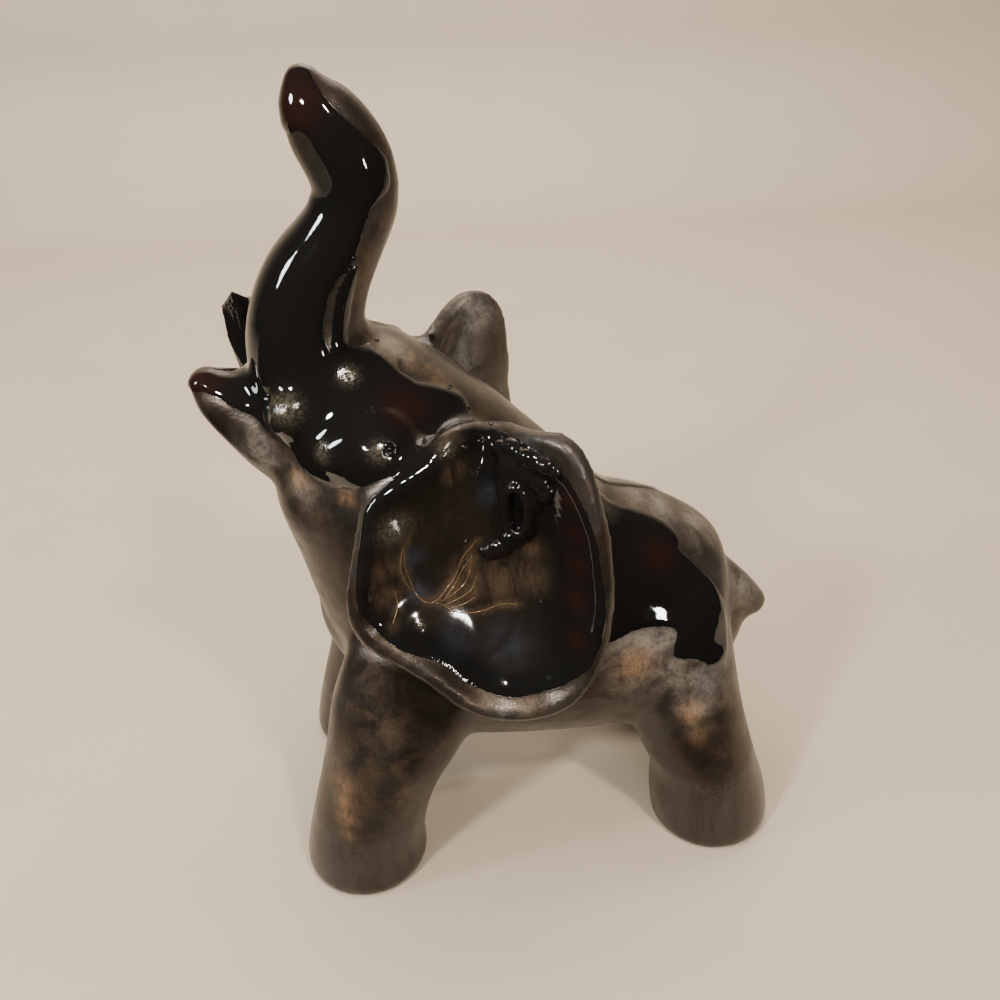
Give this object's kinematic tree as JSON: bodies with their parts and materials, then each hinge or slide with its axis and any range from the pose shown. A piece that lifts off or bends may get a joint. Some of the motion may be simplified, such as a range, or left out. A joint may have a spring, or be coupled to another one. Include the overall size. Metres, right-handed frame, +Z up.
{
  "type": "ceramic elephant figurine",
  "caption": "Slip-cast elephant standing with raised trunk and cupped ears, in black and bronze lustre glaze.",
  "frame": {"origin": "on the table, under the middle of the figure's bounding box", "axes": "+Z up along the raised trunk, -Y the way the elephant faces, +X its left side"},
  "size_m": [0.0992, 0.1526, 0.2156],
  "materials": {
    "elephant_figurine": "thick glossy black glaze running over a satin bronze and gunmetal lustre"
  },
  "bodies": {
    "root": {"elephant_figurine": "elephant_figurine"}
  },
  "joints": []
}
